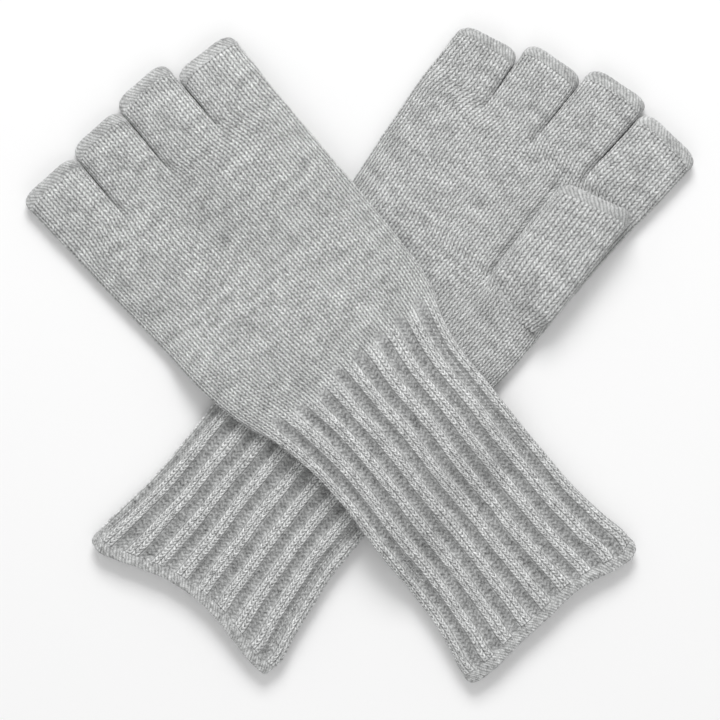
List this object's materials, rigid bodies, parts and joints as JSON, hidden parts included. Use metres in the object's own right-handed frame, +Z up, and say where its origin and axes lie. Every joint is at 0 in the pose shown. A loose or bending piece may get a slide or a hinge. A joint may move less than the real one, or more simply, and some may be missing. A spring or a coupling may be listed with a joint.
{
  "type": "fingerless gloves",
  "caption": "Pair of knitted fingerless gloves with long ribbed cuffs, laid crossed; finger tubes, thumbs and the upper cuff fold on their own hinges.",
  "frame": {"origin": "on the surface that the pair lies on, under the middle of its box", "axes": "+Z up from the surface; +Y from the right glove's cuff to its fingertips; +X across the right glove towards its thumb"},
  "size_m": [0.278, 0.271, 0.0188],
  "materials": {
    "stockinette": "soft melange knit, matte with a faint halo of fibre",
    "rib": "two-by-two rib in the same melange yarn, matte",
    "bound_edge": "bound-off edge in the same yarn, slightly lighter"
  },
  "bodies": {
    "right_glove": {"right_hand": "stockinette", "right_cuff": "rib", "right_cuff_edge": "bound_edge"},
    "left_glove": {"left_hand": "stockinette"},
    "left_cuff": {"left_cuff": "rib", "left_cuff_edge": "bound_edge"},
    "right_little_finger": {"right_little_finger": "stockinette", "right_little_finger_edge": "bound_edge"},
    "right_ring_finger": {"right_ring_finger": "stockinette", "right_ring_finger_edge": "bound_edge"},
    "right_middle_finger": {"right_middle_finger": "stockinette", "right_middle_finger_edge": "bound_edge"},
    "right_index_finger": {"right_index_finger": "stockinette", "right_index_finger_edge": "bound_edge"},
    "right_thumb": {"right_thumb": "stockinette", "right_thumb_edge": "bound_edge"},
    "left_little_finger": {"left_little_finger": "stockinette", "left_little_finger_edge": "bound_edge"},
    "left_ring_finger": {"left_ring_finger": "stockinette", "left_ring_finger_edge": "bound_edge"},
    "left_middle_finger": {"left_middle_finger": "stockinette", "left_middle_finger_edge": "bound_edge"},
    "left_index_finger": {"left_index_finger": "stockinette", "left_index_finger_edge": "bound_edge"},
    "left_thumb": {"left_thumb": "stockinette", "left_thumb_edge": "bound_edge"}
  },
  "joints": [
    {"name": "left_glove_lift", "type": "slide", "parent": "right_glove", "child": "left_glove", "axis": [0, 0, 1], "range_m": [0, 0.12]},
    {"name": "left_cuff_fold", "type": "hinge", "parent": "left_glove", "child": "left_cuff", "pos_m": [0.00096, -0.02206, 0.0182], "axis": [-0.2079, -0.9781, 0], "range_deg": [0, 80]},
    {"name": "right_little_finger_fold", "type": "hinge", "parent": "right_glove", "child": "right_little_finger", "pos_m": [-0.02823, 0.1015, 0.0082], "axis": [1, 0, 0], "range_deg": [0, 80]},
    {"name": "right_ring_finger_fold", "type": "hinge", "parent": "right_glove", "child": "right_ring_finger", "pos_m": [-0.00203, 0.1015, 0.0082], "axis": [1, 0, 0], "range_deg": [0, 80]},
    {"name": "right_middle_finger_fold", "type": "hinge", "parent": "right_glove", "child": "right_middle_finger", "pos_m": [0.02417, 0.1015, 0.0082], "axis": [1, 0, 0], "range_deg": [0, 80]},
    {"name": "right_index_finger_fold", "type": "hinge", "parent": "right_glove", "child": "right_index_finger", "pos_m": [0.05037, 0.1015, 0.0082], "axis": [1, 0, 0], "range_deg": [0, 80]},
    {"name": "right_thumb_swing", "type": "hinge", "parent": "right_glove", "child": "right_thumb", "pos_m": [0.04307, 0.0412, 0.00835], "axis": [1, 0, 0], "range_deg": [0, 90]},
    {"name": "left_little_finger_fold", "type": "hinge", "parent": "left_glove", "child": "left_little_finger", "pos_m": [-0.10992, -0.03867, 0.01006], "axis": [0.2035, 0.9575, 0.2042], "range_deg": [0, 80]},
    {"name": "left_ring_finger_fold", "type": "hinge", "parent": "left_glove", "child": "left_ring_finger", "pos_m": [-0.10447, -0.01304, 0.01461], "axis": [0.2059, 0.9689, 0.1374], "range_deg": [0, 80]},
    {"name": "left_middle_finger_fold", "type": "hinge", "parent": "left_glove", "child": "left_middle_finger", "pos_m": [-0.09903, 0.01259, 0.01733], "axis": [0.2074, 0.9758, 0.0686], "range_deg": [0, 80]},
    {"name": "left_index_finger_fold", "type": "hinge", "parent": "left_glove", "child": "left_index_finger", "pos_m": [-0.09358, 0.03822, 0.01821], "axis": [0.2079, 0.9781, -0.0011], "range_deg": [0, 80]},
    {"name": "left_thumb_swing", "type": "hinge", "parent": "left_glove", "child": "left_thumb", "pos_m": [-0.05177, 0.02186, 0.00795], "axis": [-0.2079, -0.9781, 0], "range_deg": [0, 75]}
  ]
}
